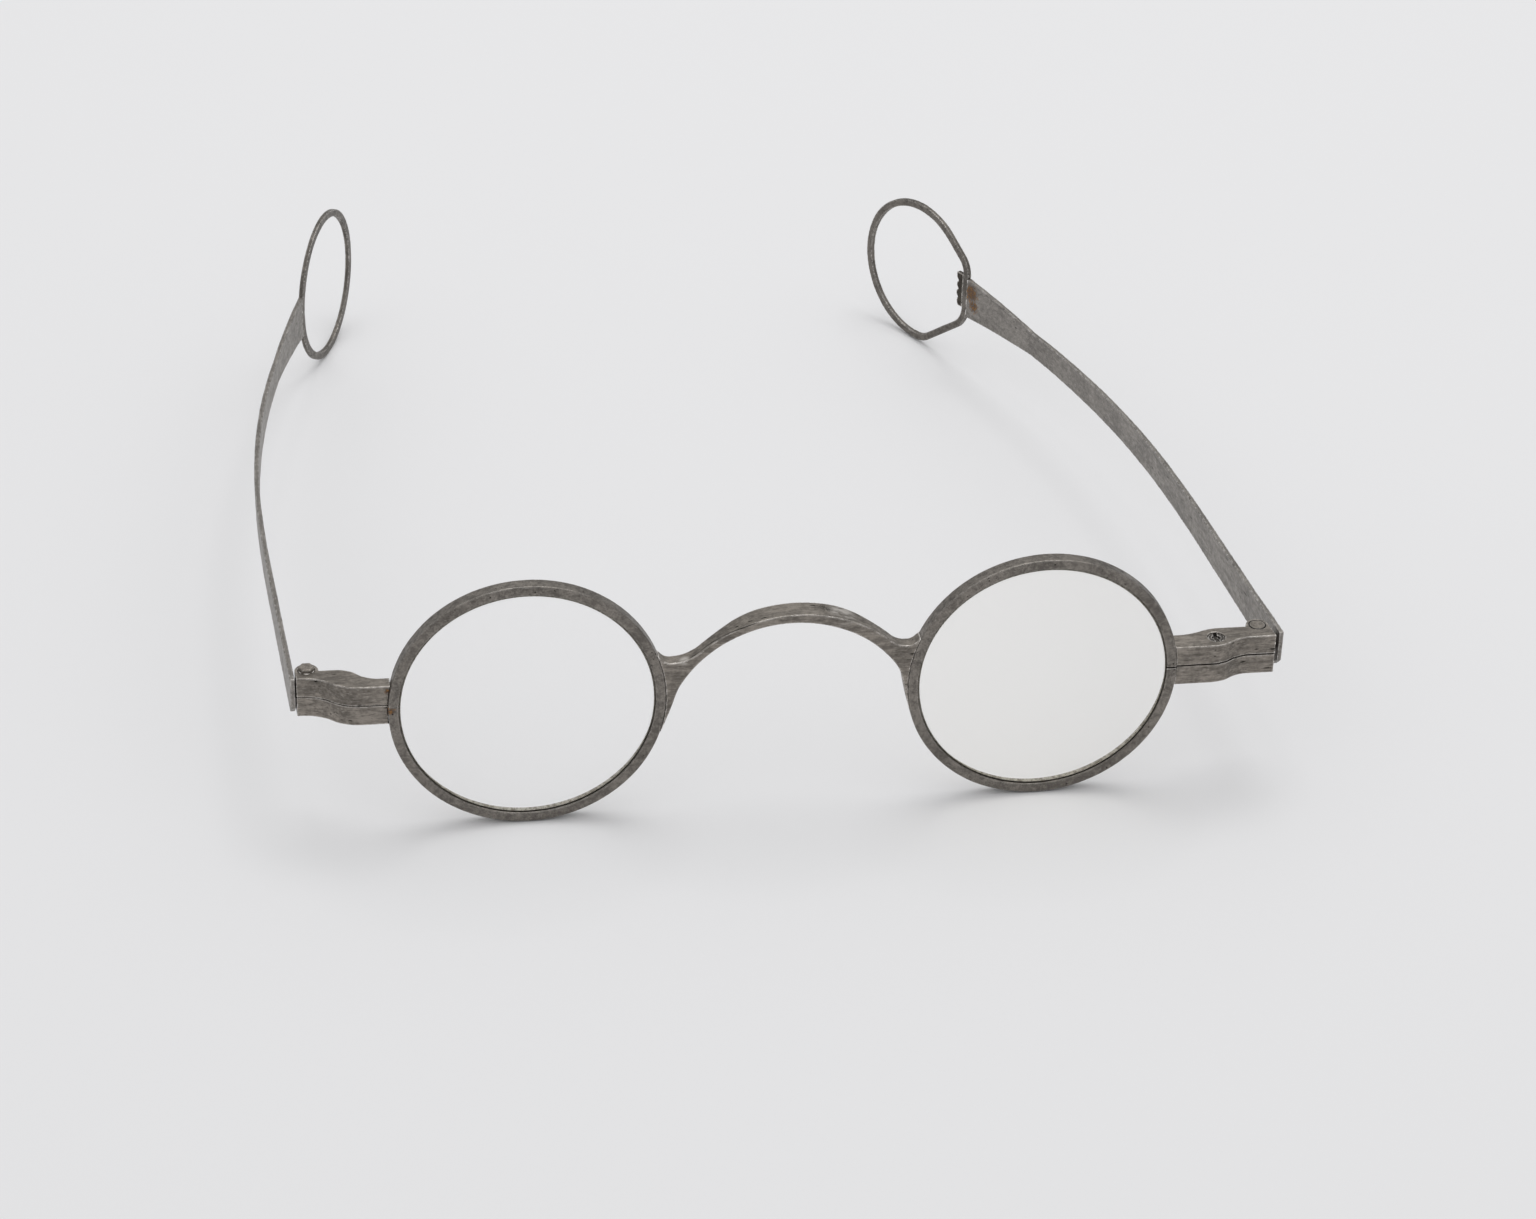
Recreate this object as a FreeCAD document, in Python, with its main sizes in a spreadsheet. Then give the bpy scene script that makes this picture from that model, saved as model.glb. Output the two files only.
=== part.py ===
"""Temple spectacles: round rims, an arched bridge, split end blocks and sprung arms with ring ends.

The front is drawn upright. x runs from left to right as seen from the front, y from the front
face towards the ears and z up, with zero midway between the two lens centres. The finished
spectacles are then leaned back until rims and arm rings stand on z = 0, centred on x and y.
"""
import FreeCAD, Part
import math
import os
import re

import Sketcher

os.makedirs("parts", exist_ok=True)
doc = FreeCAD.newDocument("TempleSpectacles")

LEFT = -1
RIGHT = 1
SIDES = {LEFT: "left", RIGHT: "right"}

# Driving dimensions, in millimetres and degrees
SIZES = (
    ("lens_spacing", 62.0, "between the two lens centres, the wearer's pupil distance"),
    ("rim_outer_radius", 16.45, "outside of a rim"),
    ("rim_wall", 1.25, "rim from its inside to its outside"),
    ("rim_depth", 1.75, "rim from front to back"),
    ("rim_round", 0.15, "rounding of the rim's edges"),
    ("groove_depth", 0.5, "V groove that holds the lens, as deep as it is half wide"),
    ("left_saw_cut", 0.06, "gap that splits the left block, drawn almost shut by its screw"),
    ("right_saw_cut", 0.16, "gap that splits the right block"),
    ("rim_saw_cut", 0.16, "gap that splits a rim"),
    ("lens_thickness", 1.7, "lens at its middle"),
    ("lens_edge", 1.3, "lens at its bevelled edge"),
    ("lens_clearance", 0.04, "between the lens bevel and the groove"),
    ("crown_shift", 1.0, "crown of the bridge, right of the middle"),
    ("crown_top", 10.7, "top of the bridge above the lens centres"),
    ("crown_radius", 17.0, "upper curve of the bridge"),
    ("under_shift", 0.5, "middle of the bridge's underside, right of the middle"),
    ("under_top", 9.6, "underside of the bridge above the lens centres"),
    ("under_radius", 15.3, "lower curve of the bridge"),
    ("left_shoulder", 1.0, "height where the underside turns into the left leg"),
    ("right_shoulder", 2.0, "height where the underside turns into the right leg"),
    ("shoulder_fillet", 6.0, "easing of those two turns"),
    ("left_foot_angle", 33.0, "where the left leg runs out on its rim, below the lens centre"),
    ("right_foot_angle", 15.0, "where the right leg runs out on its rim, below the lens centre"),
    ("leg_radius", 45.0, "bow of a leg's inner edge"),
    ("left_neck", 11.5, "end of the crown's curve, left of its middle"),
    ("right_neck", 11.4, "end of the crown's curve, right of its middle"),
    ("left_valley_radius", 5.2, "hollow curve from the crown down to the left rim"),
    ("right_valley_radius", 2.84, "hollow curve from the crown down to the right rim"),
    ("valley_fillet", 1.5, "small curve where the bridge runs up on a rim"),
    ("bridge_depth", 2.9, "bridge from front to back at its crown"),
    ("leg_depth", 1.75, "bridge from front to back at its legs"),
    ("crown_half_width", 4.0, "half the length over which the bridge has its full depth"),
    ("leg_start", 12.0, "from the middle to where the bridge is down to the legs' depth"),
    ("block_height", 5.24, "end block from bottom to top"),
    ("left_block_mid", 0.86, "middle of the left end block above the lens centres"),
    ("right_block_mid", 0.5, "middle of the right end block above the lens centres"),
    ("left_block_front", 0.5, "left block's front at the rim, behind the rim's front"),
    ("right_block_front", 0.3, "right block's front at the rim, behind the rim's front"),
    ("left_block_back", 2.4, "left block's back at the rim"),
    ("right_block_back", 3.2, "right block's back at the rim"),
    ("left_front_step", 2.7, "set-back of the left block's front at the hinge"),
    ("right_front_step", 1.65, "set-back of the right block's front at the hinge"),
    ("left_back_step", 2.4, "set-back of the left block's back at the hinge"),
    ("right_back_step", 1.15, "set-back of the right block's back at the hinge"),
    ("left_step_start", 3.05, "from the rim's outside to where the left block's front steps back"),
    ("right_step_start", 4.35, "from the rim's outside to where the right block's front steps back"),
    ("left_step_length", 7.0, "length of the left block's front step"),
    ("right_step_length", 5.2, "length of the right block's front step"),
    ("back_step_start", 0.75, "from the rim's outside to where a block's back steps back"),
    ("back_step_length", 5.2, "length of a block's back step"),
    ("left_pin_reach", 9.25, "left hinge pin beyond the rim's outside"),
    ("right_pin_reach", 10.85, "right hinge pin beyond the rim's outside"),
    ("left_pin_y", 5.05, "left hinge pin behind the rim's front"),
    ("right_pin_y", 4.6, "right hinge pin behind the rim's front"),
    ("left_end_reach", 1.3, "left block's front corner beyond its pin"),
    ("right_end_reach", 1.78, "right block's front corner beyond its pin"),
    ("boss_radius", 1.4, "round boss of the block about the pin"),
    ("pin_radius", 0.7, "shank of a hinge pin"),
    ("pin_fit", 0.01, "clearance of pins and screws in the end blocks"),
    ("hinge_clearance", 0.04, "running clearance of the arm's eye on its pin and in its slot"),
    ("pin_head_radius", 1.0, "head of a hinge pin"),
    ("pin_head_sunk", 0.5, "part of the pin's head let into the block"),
    ("left_pin_proud", 0.5, "left pin's head above the block"),
    ("right_pin_proud", 0.03, "right pin's head above the block"),
    ("pin_head_edge", 0.12, "worn edge of a proud pin head"),
    ("left_screw_reach", 5.15, "left closing screw beyond the rim's outside"),
    ("right_screw_reach", 5.21, "right closing screw beyond the rim's outside"),
    ("left_screw_y", 2.8, "left closing screw behind the rim's front"),
    ("right_screw_y", 2.35, "right closing screw behind the rim's front"),
    ("screw_radius", 0.6, "shank of a closing screw"),
    ("screw_head_radius", 1.05, "head of a closing screw"),
    ("screw_head_height", 0.8, "height of a closing screw's head"),
    ("screw_head_sunk", 0.12, "closing screw's head below the block's face"),
    ("screw_tip_short", 0.5, "closing screw's tip short of the block's far face"),
    ("screw_slot_width", 0.4, "slot in a closing screw's head"),
    ("screw_slot_depth", 0.35, "depth of that slot"),
    ("screw_pit_radius", 0.5, "worn pit in the middle of that slot"),
    ("tongue_thickness", 1.2, "arm's eye between the two halves of the block"),
    ("tongue_radius", 1.3, "outside of the arm's eye"),
    ("tongue_neck", 0.8, "half width of the neck from the eye to the arm"),
    ("arm_thickness", 0.6, "arm strip"),
    ("left_arm_offset", 1.55, "left pin's axis to the inner face of its arm"),
    ("right_arm_offset", 2.08, "right pin's axis to the inner face of its arm"),
    ("left_head_reach", 1.8, "left arm's front end before its pin"),
    ("right_head_reach", 2.2, "right arm's front end before its pin"),
    ("arm_head_height", 5.1, "arm strip at its front end"),
    ("arm_head_length", 1.6, "length behind the pin that keeps that height"),
    ("arm_shoulder", 8.0, "from the pin to the end of the head's taper"),
    ("arm_height", 4.71, "arm strip behind its head"),
    ("arm_waist", 79.9, "from the pin to the narrowest part of the strip"),
    ("arm_waist_height", 3.37, "arm strip at its narrowest"),
    ("arm_end_height", 6.0, "arm strip where it meets its ring"),
    ("left_arm_rise", 0.0, "middle of the left arm's strip at its ring above its eye"),
    ("right_arm_rise", 0.36, "middle of the right arm's strip at its ring above its eye"),
    ("arm_corner", 1.1, "lower front corner filed off the arm's head"),
    ("arm_straight", 25.5, "straight length behind the pin"),
    ("arm_first_radius", 369.0, "first bend, gentle"),
    ("arm_first_bend", 2.32, "angle of the first bend"),
    ("arm_last_radius", 172.6, "last bend, tighter"),
    ("arm_last_bend", 18.72, "angle of the last bend"),
    ("left_arm_angle", -3.88, "left arm at rest, inward from straight back"),
    ("right_arm_angle", 5.57, "right arm at rest, inward from straight back"),
    ("ring_radius", 10.12, "arm ring, to the middle of its wire"),
    ("ring_wire_width", 1.0, "wire of an arm ring, across its flat"),
    ("ring_wire_thickness", 0.64, "wire of an arm ring, through the ring's plane"),
    ("left_ring_twist", 4.19, "left ring, turned inward from its arm"),
    ("right_ring_twist", 5.67, "right ring, turned inward from its arm"),
    ("ring_corner_angle", 130.0, "where the right ring's straightened wire leaves its round, above the arm"),
    ("ring_corner_radius", 3.0, "bend above the right ring's joint"),
    ("ring_dent_reach", 9.12, "straightened lower run of the right ring from its middle"),
    ("ring_dent_angle", 37.0, "slope of that run"),
    ("ring_dent_radius", 4.0, "bends at both ends of that run"),
    ("patch_height", 5.1, "jagged repair patch, down from that bend"),
    ("patch_width", 1.25, "patch from the wire towards the ring's middle"),
    ("patch_thickness", 0.6, "patch across the ring"),
    ("patch_tooth_depth", 0.38, "depth of the patch's broken teeth"),
)

# Counts, and lengths used only while cutting
PATCH_TEETH = 4
PATCH_TOOTH_LOSS = (0.5, 0.1, 0.2, 0.0)
PATCH_TOOTH_RISE = 0.09
PIN_HEAD_FLATS = 6
CUT_MARGIN = 3.0
RIM_BITE = 12.0
VALLEY_RUN = 1.5
TOLERANCE = 1e-6

sheet = doc.addObject("Spreadsheet::Sheet", "Sizes")
for row, (name, number, note) in enumerate(SIZES, start=1):
    sheet.set(f"A{row}", name)
    sheet.set(f"B{row}", str(number))
    sheet.set(f"C{row}", note)
    sheet.setAlias(f"B{row}", name)
doc.recompute()

# Sizes that follow from others
FOLLOWING = {
    "rim_inner_radius": "rim_outer_radius - rim_wall",
    "rim_edge": "lens_spacing / 2 + rim_outer_radius",
    "left_pin_x": "rim_edge + left_pin_reach",
    "right_pin_x": "rim_edge + right_pin_reach",
    "ring_corner_start": "(ring_radius - ring_corner_radius) * tan((180 - ring_corner_angle) / 2)",
}
for row, (name, text) in enumerate(FOLLOWING.items(), start=len(SIZES) + 1):
    sheet.set(f"A{row}", name)
    sheet.set(f"B{row}", f"={text}")
    sheet.setAlias(f"B{row}", name)
    doc.recompute()


def bound(text):
    """An expression with every name looked up in the sheet."""
    return re.sub(r"\b([a-z][a-z_0-9]*)\b(?!\()", r"Sizes.\1", text)


def value(text):
    """What an expression of sheet names comes to."""
    return float(sheet.evalExpression(text))


def across(side, text):
    """A distance from the middle, to the left or to the right."""
    return f"{side} * ({text})"


# Sketches and features
def new_body(name):
    body = doc.addObject("PartDesign::Body", name)
    body.Label = name
    return body


def new_sketch(body, name, plane, height="0"):
    """A sketch on one of the body's own planes, lifted along that plane's normal."""
    sketch = body.newObject("Sketcher::SketchObject", f"{body.Name}_{name}")
    base = next(f for f in body.Origin.OriginFeatures if f.Role == f"{plane}_Plane")
    sketch.AttachmentSupport = [(base, "")]
    sketch.MapMode = "FlatFace"
    if height != "0":
        sketch.setExpression("AttachmentOffset.Base.z", bound(height))
    return sketch


def constrain(sketch, text, *where):
    """A size in the sketch that follows an expression."""
    index = sketch.addConstraint(Sketcher.Constraint(*where, value(text)))
    sketch.setExpression(f"Constraints[{index}]", bound(text))


def place_point(sketch, edge, end, x, y):
    """Ties a point of an edge to its distances from the sketch's origin."""
    for kind, text in (("DistanceX", x), ("DistanceY", y)):
        constrain(sketch, text, kind, -1, 1, edge, end)


def arc_between(start, end, radius, turn):
    """The shorter arc from start to end; turn is 1 for anticlockwise and -1 for clockwise."""
    dx = end[0] - start[0]
    dy = end[1] - start[1]
    chord = math.hypot(dx, dy)
    rise = math.sqrt(max(radius ** 2 - chord ** 2 / 4, 0))
    centre_x = (start[0] + end[0]) / 2 - turn * rise * dy / chord
    centre_y = (start[1] + end[1]) / 2 + turn * rise * dx / chord
    first, last = (start, end) if turn > 0 else (end, start)
    angles = [math.atan2(p[1] - centre_y, p[0] - centre_x) for p in (first, last)]
    circle = Part.Circle(FreeCAD.Vector(centre_x, centre_y, 0), FreeCAD.Vector(0, 0, 1), radius)
    return Part.ArcOfCircle(circle, angles[0], angles[1])


def draw_outline(sketch, steps):
    """A closed outline. A step is (x, y) for a line to there, or (x, y, radius, turn) for an arc."""
    points = [(value(step[0]), value(step[1])) for step in steps]
    ends = []
    for index, step in enumerate(steps):
        start, end = points[index - 1], points[index]
        if len(step) == 2:
            line = Part.LineSegment(FreeCAD.Vector(*start, 0), FreeCAD.Vector(*end, 0))
            edge = sketch.addGeometry(line, False)
            ends.append((edge, 1, 2))
        else:
            edge = sketch.addGeometry(arc_between(start, end, value(step[2]), step[3]), False)
            ends.append((edge, 1, 2) if step[3] > 0 else (edge, 2, 1))
    for index, step in enumerate(steps):
        edge, _, finish = ends[index]
        following, begin, _ = ends[(index + 1) % len(ends)]
        sketch.addConstraint(Sketcher.Constraint("Coincident", edge, finish, following, begin))
        place_point(sketch, edge, finish, step[0], step[1])
        if len(step) > 2:
            constrain(sketch, step[2], "Radius", edge)


def draw_circle(sketch, x, y, radius):
    centre = FreeCAD.Vector(value(x), value(y), 0)
    circle = Part.Circle(centre, FreeCAD.Vector(0, 0, 1), value(radius))
    edge = sketch.addGeometry(circle, False)
    place_point(sketch, edge, 3, x, y)
    constrain(sketch, radius, "Radius", edge)


def draw_box(sketch, x1, y1, x2, y2):
    draw_outline(sketch, [(x1, y1), (x2, y1), (x2, y2), (x1, y2)])


def s_curve(x1, y1, x2, y2, turn):
    """Two equal arcs from one level to another, level at both ends."""
    radius = f"(({x2} - ({x1})) ^ 2 + ({y2} - ({y1})) ^ 2) / (4 * abs({y2} - ({y1})))"
    middle = (f"({x1} + {x2}) / 2", f"({y1} + {y2}) / 2")
    return [(*middle, radius, turn), (x2, y2, radius, -turn)]


def finish_feature(body, feature, sketch, adds):
    """Recomputes and sees that the feature really added or removed material."""
    before = feature.BaseFeature.Shape.Volume if feature.BaseFeature else 0.0
    sketch.Visibility = False
    body.Tip = feature
    doc.recompute()
    change = feature.Shape.Volume - before
    if (change > 0) != adds or abs(change) < TOLERANCE:
        raise RuntimeError(f"{feature.Name} changes the volume by {change:.6f}")
    return feature


def pad(body, name, sketch, length, midplane=False, reverse=False):
    feature = body.newObject("PartDesign::Pad", f"{body.Name}_{name}")
    feature.Profile = sketch
    feature.Midplane = midplane
    feature.Reversed = reverse
    feature.setExpression("Length", bound(length))
    return finish_feature(body, feature, sketch, True)


def pocket(body, name, sketch, length=None, reverse=False):
    """Cuts to a length on one side of the sketch, or right through on both."""
    feature = body.newObject("PartDesign::Pocket", f"{body.Name}_{name}")
    feature.Profile = sketch
    if length is None:
        feature.Type = "ThroughAll"
        feature.Midplane = True
    else:
        feature.Reversed = reverse
        feature.setExpression("Length", bound(length))
    return finish_feature(body, feature, sketch, False)


def turn_about(body, name, sketch, axis, kind="Revolution"):
    """A full turn of the sketch about one of its axes, added or cut away."""
    feature = body.newObject(f"PartDesign::{kind}", f"{body.Name}_{name}")
    feature.Profile = sketch
    feature.ReferenceAxis = (sketch, [axis])
    feature.Angle = 360
    return finish_feature(body, feature, sketch, kind == "Revolution")


# Rims and lenses, each drawn about its own lens centre
def make_rim(side):
    """A ring of grooved wire, sawn through on the temple side between the halves of the block."""
    rim = new_body(f"rim_{SIDES[side]}")
    section = new_sketch(rim, "section", "XY")
    inner, outer, depth, rounding = "rim_inner_radius", "rim_outer_radius", "rim_depth", "rim_round"
    middle = f"{depth} / 2"
    draw_outline(section, [
        (f"{outer} - {rounding}", "0"),
        (outer, rounding, rounding, 1),
        (outer, f"{depth} - {rounding}"),
        (f"{outer} - {rounding}", depth, rounding, 1),
        (f"{inner} + {rounding}", depth),
        (inner, f"{depth} - {rounding}", rounding, 1),
        (inner, f"{middle} + groove_depth"),
        (f"{inner} + groove_depth", middle),
        (inner, f"{middle} - groove_depth"),
        (inner, rounding),
        (f"{inner} + {rounding}", "0", rounding, 1),
    ])
    turn_about(rim, "ring", section, "V_Axis")
    cut = new_sketch(rim, "saw_line", "XZ")
    draw_box(
        cut,
        across(side, f"{inner} - {CUT_MARGIN}"), f"{SIDES[side]}_block_mid - rim_saw_cut / 2",
        across(side, f"{outer} + {CUT_MARGIN}"), f"{SIDES[side]}_block_mid + rim_saw_cut / 2",
    )
    pocket(rim, "saw_cut", cut)
    return rim


def make_lens(side):
    """A weak lens, domed on both faces, with a V bevel that sits in the rim's groove."""
    lens = new_body(f"lens_{SIDES[side]}")
    profile = new_sketch(lens, "profile", "XY")
    apex = "(rim_inner_radius + groove_depth - lens_clearance)"
    bevel = f"({apex} - lens_edge / 2)"
    sag = "((lens_thickness - lens_edge) / 2)"
    dome = f"({bevel} ^ 2 + {sag} ^ 2) / (2 * {sag})"
    middle = "rim_depth / 2"
    draw_outline(profile, [
        ("0", f"{middle} - lens_thickness / 2"),
        (bevel, f"{middle} - lens_edge / 2", dome, 1),
        (apex, middle),
        (bevel, f"{middle} + lens_edge / 2"),
        ("0", f"{middle} + lens_thickness / 2", dome, 1),
    ])
    turn_about(lens, "disc", profile, "V_Axis")
    return lens


# Bridge, drawn about the middle of the front
def cut_rims(body):
    """Hollows the body out to lie against the outside of both rims."""
    for side, word in SIDES.items():
        rim_line = new_sketch(body, f"{word}_seat_line", "XZ")
        draw_circle(rim_line, across(side, "lens_spacing / 2"), "0", "rim_outer_radius")
        pocket(body, f"{word}_seat", rim_line)


def make_bridge():
    """A flat strap bent to an arch, spread into a leg down each rim and deepest at its crown."""
    bridge = new_body("bridge")
    rise = "valley_fillet * (1 - cos(45))"
    run = "valley_fillet * sin(45)"
    foot, shoulder, neck, valley, bite, inside = {}, {}, {}, {}, {}, {}
    for side, word in SIDES.items():
        drop = f"(under_radius - under_top + {word}_shoulder)"
        fall = f"sqrt(crown_radius ^ 2 - {word}_neck ^ 2)"
        neck_z = f"crown_top - crown_radius + {fall}"
        foot[side] = (
            across(side, f"lens_spacing / 2 - rim_outer_radius * cos({word}_foot_angle)"),
            f"-rim_outer_radius * sin({word}_foot_angle)",
        )
        shoulder[side] = (
            f"under_shift + {side} * sqrt(under_radius ^ 2 - {drop} ^ 2)",
            f"{word}_shoulder",
        )
        neck[side] = (f"crown_shift + {side} * {word}_neck", neck_z)
        valley[side] = (
            f"crown_shift + {side} * {word}_neck * (1 + {word}_valley_radius / crown_radius)",
            f"{neck_z} - {word}_valley_radius * (1 - {fall} / crown_radius)",
        )
        bite[side] = (f"{valley[side][0]} + {side} * {run}", f"{valley[side][1]} + {rise}")
        inside[side] = across(side, f"lens_spacing / 2 - {RIM_BITE}")

    face = new_sketch(bridge, "front", "XZ")
    draw_outline(face, [
        foot[LEFT],
        (*shoulder[LEFT], "leg_radius", 1),
        (*shoulder[RIGHT], "under_radius", -1),
        (*foot[RIGHT], "leg_radius", 1),
        (inside[RIGHT], foot[RIGHT][1]),
        (inside[RIGHT], f"{bite[RIGHT][1]} + {VALLEY_RUN}"),
        (f"{bite[RIGHT][0]} + {VALLEY_RUN}", f"{bite[RIGHT][1]} + {VALLEY_RUN}"),
        bite[RIGHT],
        (*valley[RIGHT], "valley_fillet", -1),
        (*neck[RIGHT], "right_valley_radius", -1),
        (*neck[LEFT], "crown_radius", 1),
        (*valley[LEFT], "left_valley_radius", -1),
        (*bite[LEFT], "valley_fillet", -1),
        (f"{bite[LEFT][0]} - {VALLEY_RUN}", f"{bite[LEFT][1]} + {VALLEY_RUN}"),
        (inside[LEFT], f"{bite[LEFT][1]} + {VALLEY_RUN}"),
        (inside[LEFT], foot[LEFT][1]),
    ])
    strap = pad(bridge, "strap", face, "bridge_depth", reverse=True)
    turns = [(value(x), value(z)) for x, z in shoulder.values()]
    edges = [
        f"Edge{number}" for number, edge in enumerate(strap.Shape.Edges, start=1)
        if any(
            all(math.hypot(end.Point.x - x, end.Point.z - z) < TOLERANCE for end in edge.Vertexes)
            for x, z in turns
        )
    ]
    eased = bridge.newObject("PartDesign::Fillet", "bridge_eased_turns")
    eased.Base = (strap, edges)
    eased.setExpression("Radius", bound("shoulder_fillet"))
    bridge.Tip = eased
    doc.recompute()

    thinning = new_sketch(bridge, "plan", "XY")
    back = f"bridge_depth + {CUT_MARGIN}"
    leg_left, full_left = "crown_shift - leg_start", "crown_shift - crown_half_width"
    leg_right, full_right = "crown_shift + leg_start", "crown_shift + crown_half_width"
    draw_outline(thinning, [
        (across(LEFT, "lens_spacing / 2"), "leg_depth"),
        (leg_left, "leg_depth"),
        *s_curve(leg_left, "leg_depth", full_left, "bridge_depth", 1),
        (full_right, "bridge_depth"),
        *s_curve(full_right, "bridge_depth", leg_right, "leg_depth", -1),
        ("lens_spacing / 2", "leg_depth"),
        ("lens_spacing / 2", back),
        (across(LEFT, "lens_spacing / 2"), back),
    ])
    pocket(bridge, "thin_legs", thinning)
    cut_rims(bridge)
    return bridge


# End blocks, drawn about the middle of the front
def block_outline(sketch, side):
    """Plan of a block: flush at the rim, stepping back to a boss about the hinge pin."""
    word = SIDES[side]
    root = across(side, f"rim_edge - {CUT_MARGIN}")
    front = f"{word}_block_front"
    hinge_front = f"{front} + {word}_front_step"
    back = f"{word}_block_back"
    hinge_back = f"{back} + {word}_back_step"
    step_start = across(side, f"rim_edge + {word}_step_start")
    step_end = across(side, f"rim_edge + {word}_step_start + {word}_step_length")
    pin_x, pin_y = f"{word}_pin_x", f"{word}_pin_y"
    boss_foot = f"{pin_x} - sqrt(boss_radius ^ 2 - ({hinge_back} - {pin_y}) ^ 2)"
    back_start = across(side, "rim_edge + back_step_start")
    back_end = across(side, "rim_edge + back_step_start + back_step_length")
    draw_outline(sketch, [
        (root, front),
        (step_start, front),
        *s_curve(step_start, front, step_end, hinge_front, side),
        (across(side, f"{pin_x} + {word}_end_reach"), hinge_front),
        (across(side, f"{pin_x} + boss_radius"), pin_y),
        (across(side, pin_x), f"{pin_y} + boss_radius", "boss_radius", side),
        (across(side, boss_foot), hinge_back, "boss_radius", side),
        (back_end, hinge_back),
        *s_curve(back_end, hinge_back, back_start, back, side),
        (root, back),
    ])


def make_block_half(side, upper):
    """Half a block, with its half of the hinge slot and its bores for pin and screw."""
    word = SIDES[side]
    half = new_body(f"endpiece_{'upper' if upper else 'lower'}_{word}")
    sign = "+" if upper else "-"
    plan = new_sketch(half, "plan", "XY", f"{word}_block_mid {sign} {word}_saw_cut / 2")
    block_outline(plan, side)
    pad(half, "bar", plan, f"(block_height - {word}_saw_cut) / 2", reverse=not upper)

    seat = new_sketch(half, "rim_line", "XZ")
    draw_circle(seat, across(side, "lens_spacing / 2"), "0", "rim_outer_radius")
    pocket(half, "rim_seat", seat)

    pin_x, pin_y = f"{word}_pin_x", f"{word}_pin_y"
    reach = "(tongue_radius + hinge_clearance)"
    slot = new_sketch(half, "slot_plan", "XY", f"{word}_block_mid")
    draw_outline(slot, [
        (across(side, f"{pin_x} + {CUT_MARGIN}"), f"{pin_y} - {reach}"),
        (across(side, f"{pin_x} + {CUT_MARGIN}"), f"{pin_y} + {CUT_MARGIN}"),
        (across(side, f"{pin_x} - {reach}"), f"{pin_y} + {CUT_MARGIN}"),
        (across(side, f"{pin_x} - {reach}"), pin_y),
        (across(side, pin_x), f"{pin_y} - {reach}", reach, side),
    ])
    pocket(half, "slot", slot, "tongue_thickness / 2 + hinge_clearance", reverse=upper)

    bore = new_sketch(half, "pin_line", "XY")
    draw_circle(bore, across(side, pin_x), pin_y, "pin_radius + pin_fit")
    pocket(half, "pin_bore", bore)
    face = f"{word}_block_mid {sign} block_height / 2"
    if upper:
        sink = new_sketch(half, "pin_head_line", "XY", face)
        draw_circle(sink, across(side, pin_x), pin_y, "pin_head_radius + pin_fit")
        pocket(half, "pin_head_sink", sink, "pin_head_sunk")

    screw_x, screw_y = across(side, f"rim_edge + {word}_screw_reach"), f"{word}_screw_y"
    holds_head = upper == (side == RIGHT)
    if holds_head or not upper:
        hole = new_sketch(half, "screw_line", "XY")
        draw_circle(hole, screw_x, screw_y, "screw_radius + pin_fit")
        pocket(half, "screw_bore", hole)
    else:
        hole = new_sketch(half, "screw_line", "XY", f"{word}_block_mid")
        draw_circle(hole, screw_x, screw_y, "screw_radius + pin_fit")
        pocket(half, "screw_bore", hole, "block_height / 2 - screw_tip_short", reverse=True)
    if holds_head:
        sink = new_sketch(half, "screw_head_line", "XY", face)
        draw_circle(sink, screw_x, screw_y, "screw_head_radius + pin_fit")
        sink_depth = "screw_head_height + screw_head_sunk"
        pocket(half, "screw_head_sink", sink, sink_depth, reverse=not upper)
    return half


def make_pin(side):
    """A riveted hinge pin: worn flat-sided head standing up on the left, filed flush on the right."""
    word = SIDES[side]
    pin = new_body(f"hinge_pin_{word}")
    shank = new_sketch(pin, "shank_line", "XY", f"{word}_block_mid - block_height / 2")
    pin_x, pin_y = across(side, f"{word}_pin_x"), f"{word}_pin_y"
    draw_circle(shank, pin_x, pin_y, "pin_radius")
    pad(pin, "shank", shank, "block_height - pin_head_sunk")
    head = new_sketch(pin, "head_line", "XY", f"{word}_block_mid + block_height / 2 - pin_head_sunk")
    draw_circle(head, pin_x, pin_y, "pin_head_radius")
    if side == RIGHT:
        pad(pin, "head", head, f"pin_head_sunk + {word}_pin_proud")
        return pin
    pad(pin, "head", head, "pin_head_sunk")
    crown = new_sketch(pin, "crown_line", "XY", f"{word}_block_mid + block_height / 2")
    corners = []
    for corner in range(PIN_HEAD_FLATS):
        angle = 360 * corner / PIN_HEAD_FLATS
        corners.append((
            f"{pin_x} + pin_head_radius * cos({angle})",
            f"{pin_y} + pin_head_radius * sin({angle})",
        ))
    draw_outline(crown, corners)
    standing = pad(pin, "crown", crown, f"{word}_pin_proud")
    top = value(f"{word}_block_mid + block_height / 2 + {word}_pin_proud")
    edges = [
        f"Edge{number}" for number, edge in enumerate(standing.Shape.Edges, start=1)
        if all(abs(vertex.Point.z - top) < TOLERANCE for vertex in edge.Vertexes)
    ]
    worn = pin.newObject("PartDesign::Chamfer", f"{pin.Name}_worn_edge")
    worn.Base = (standing, edges)
    worn.setExpression("Size", bound("pin_head_edge"))
    pin.Tip = worn
    doc.recompute()
    return pin


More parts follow.
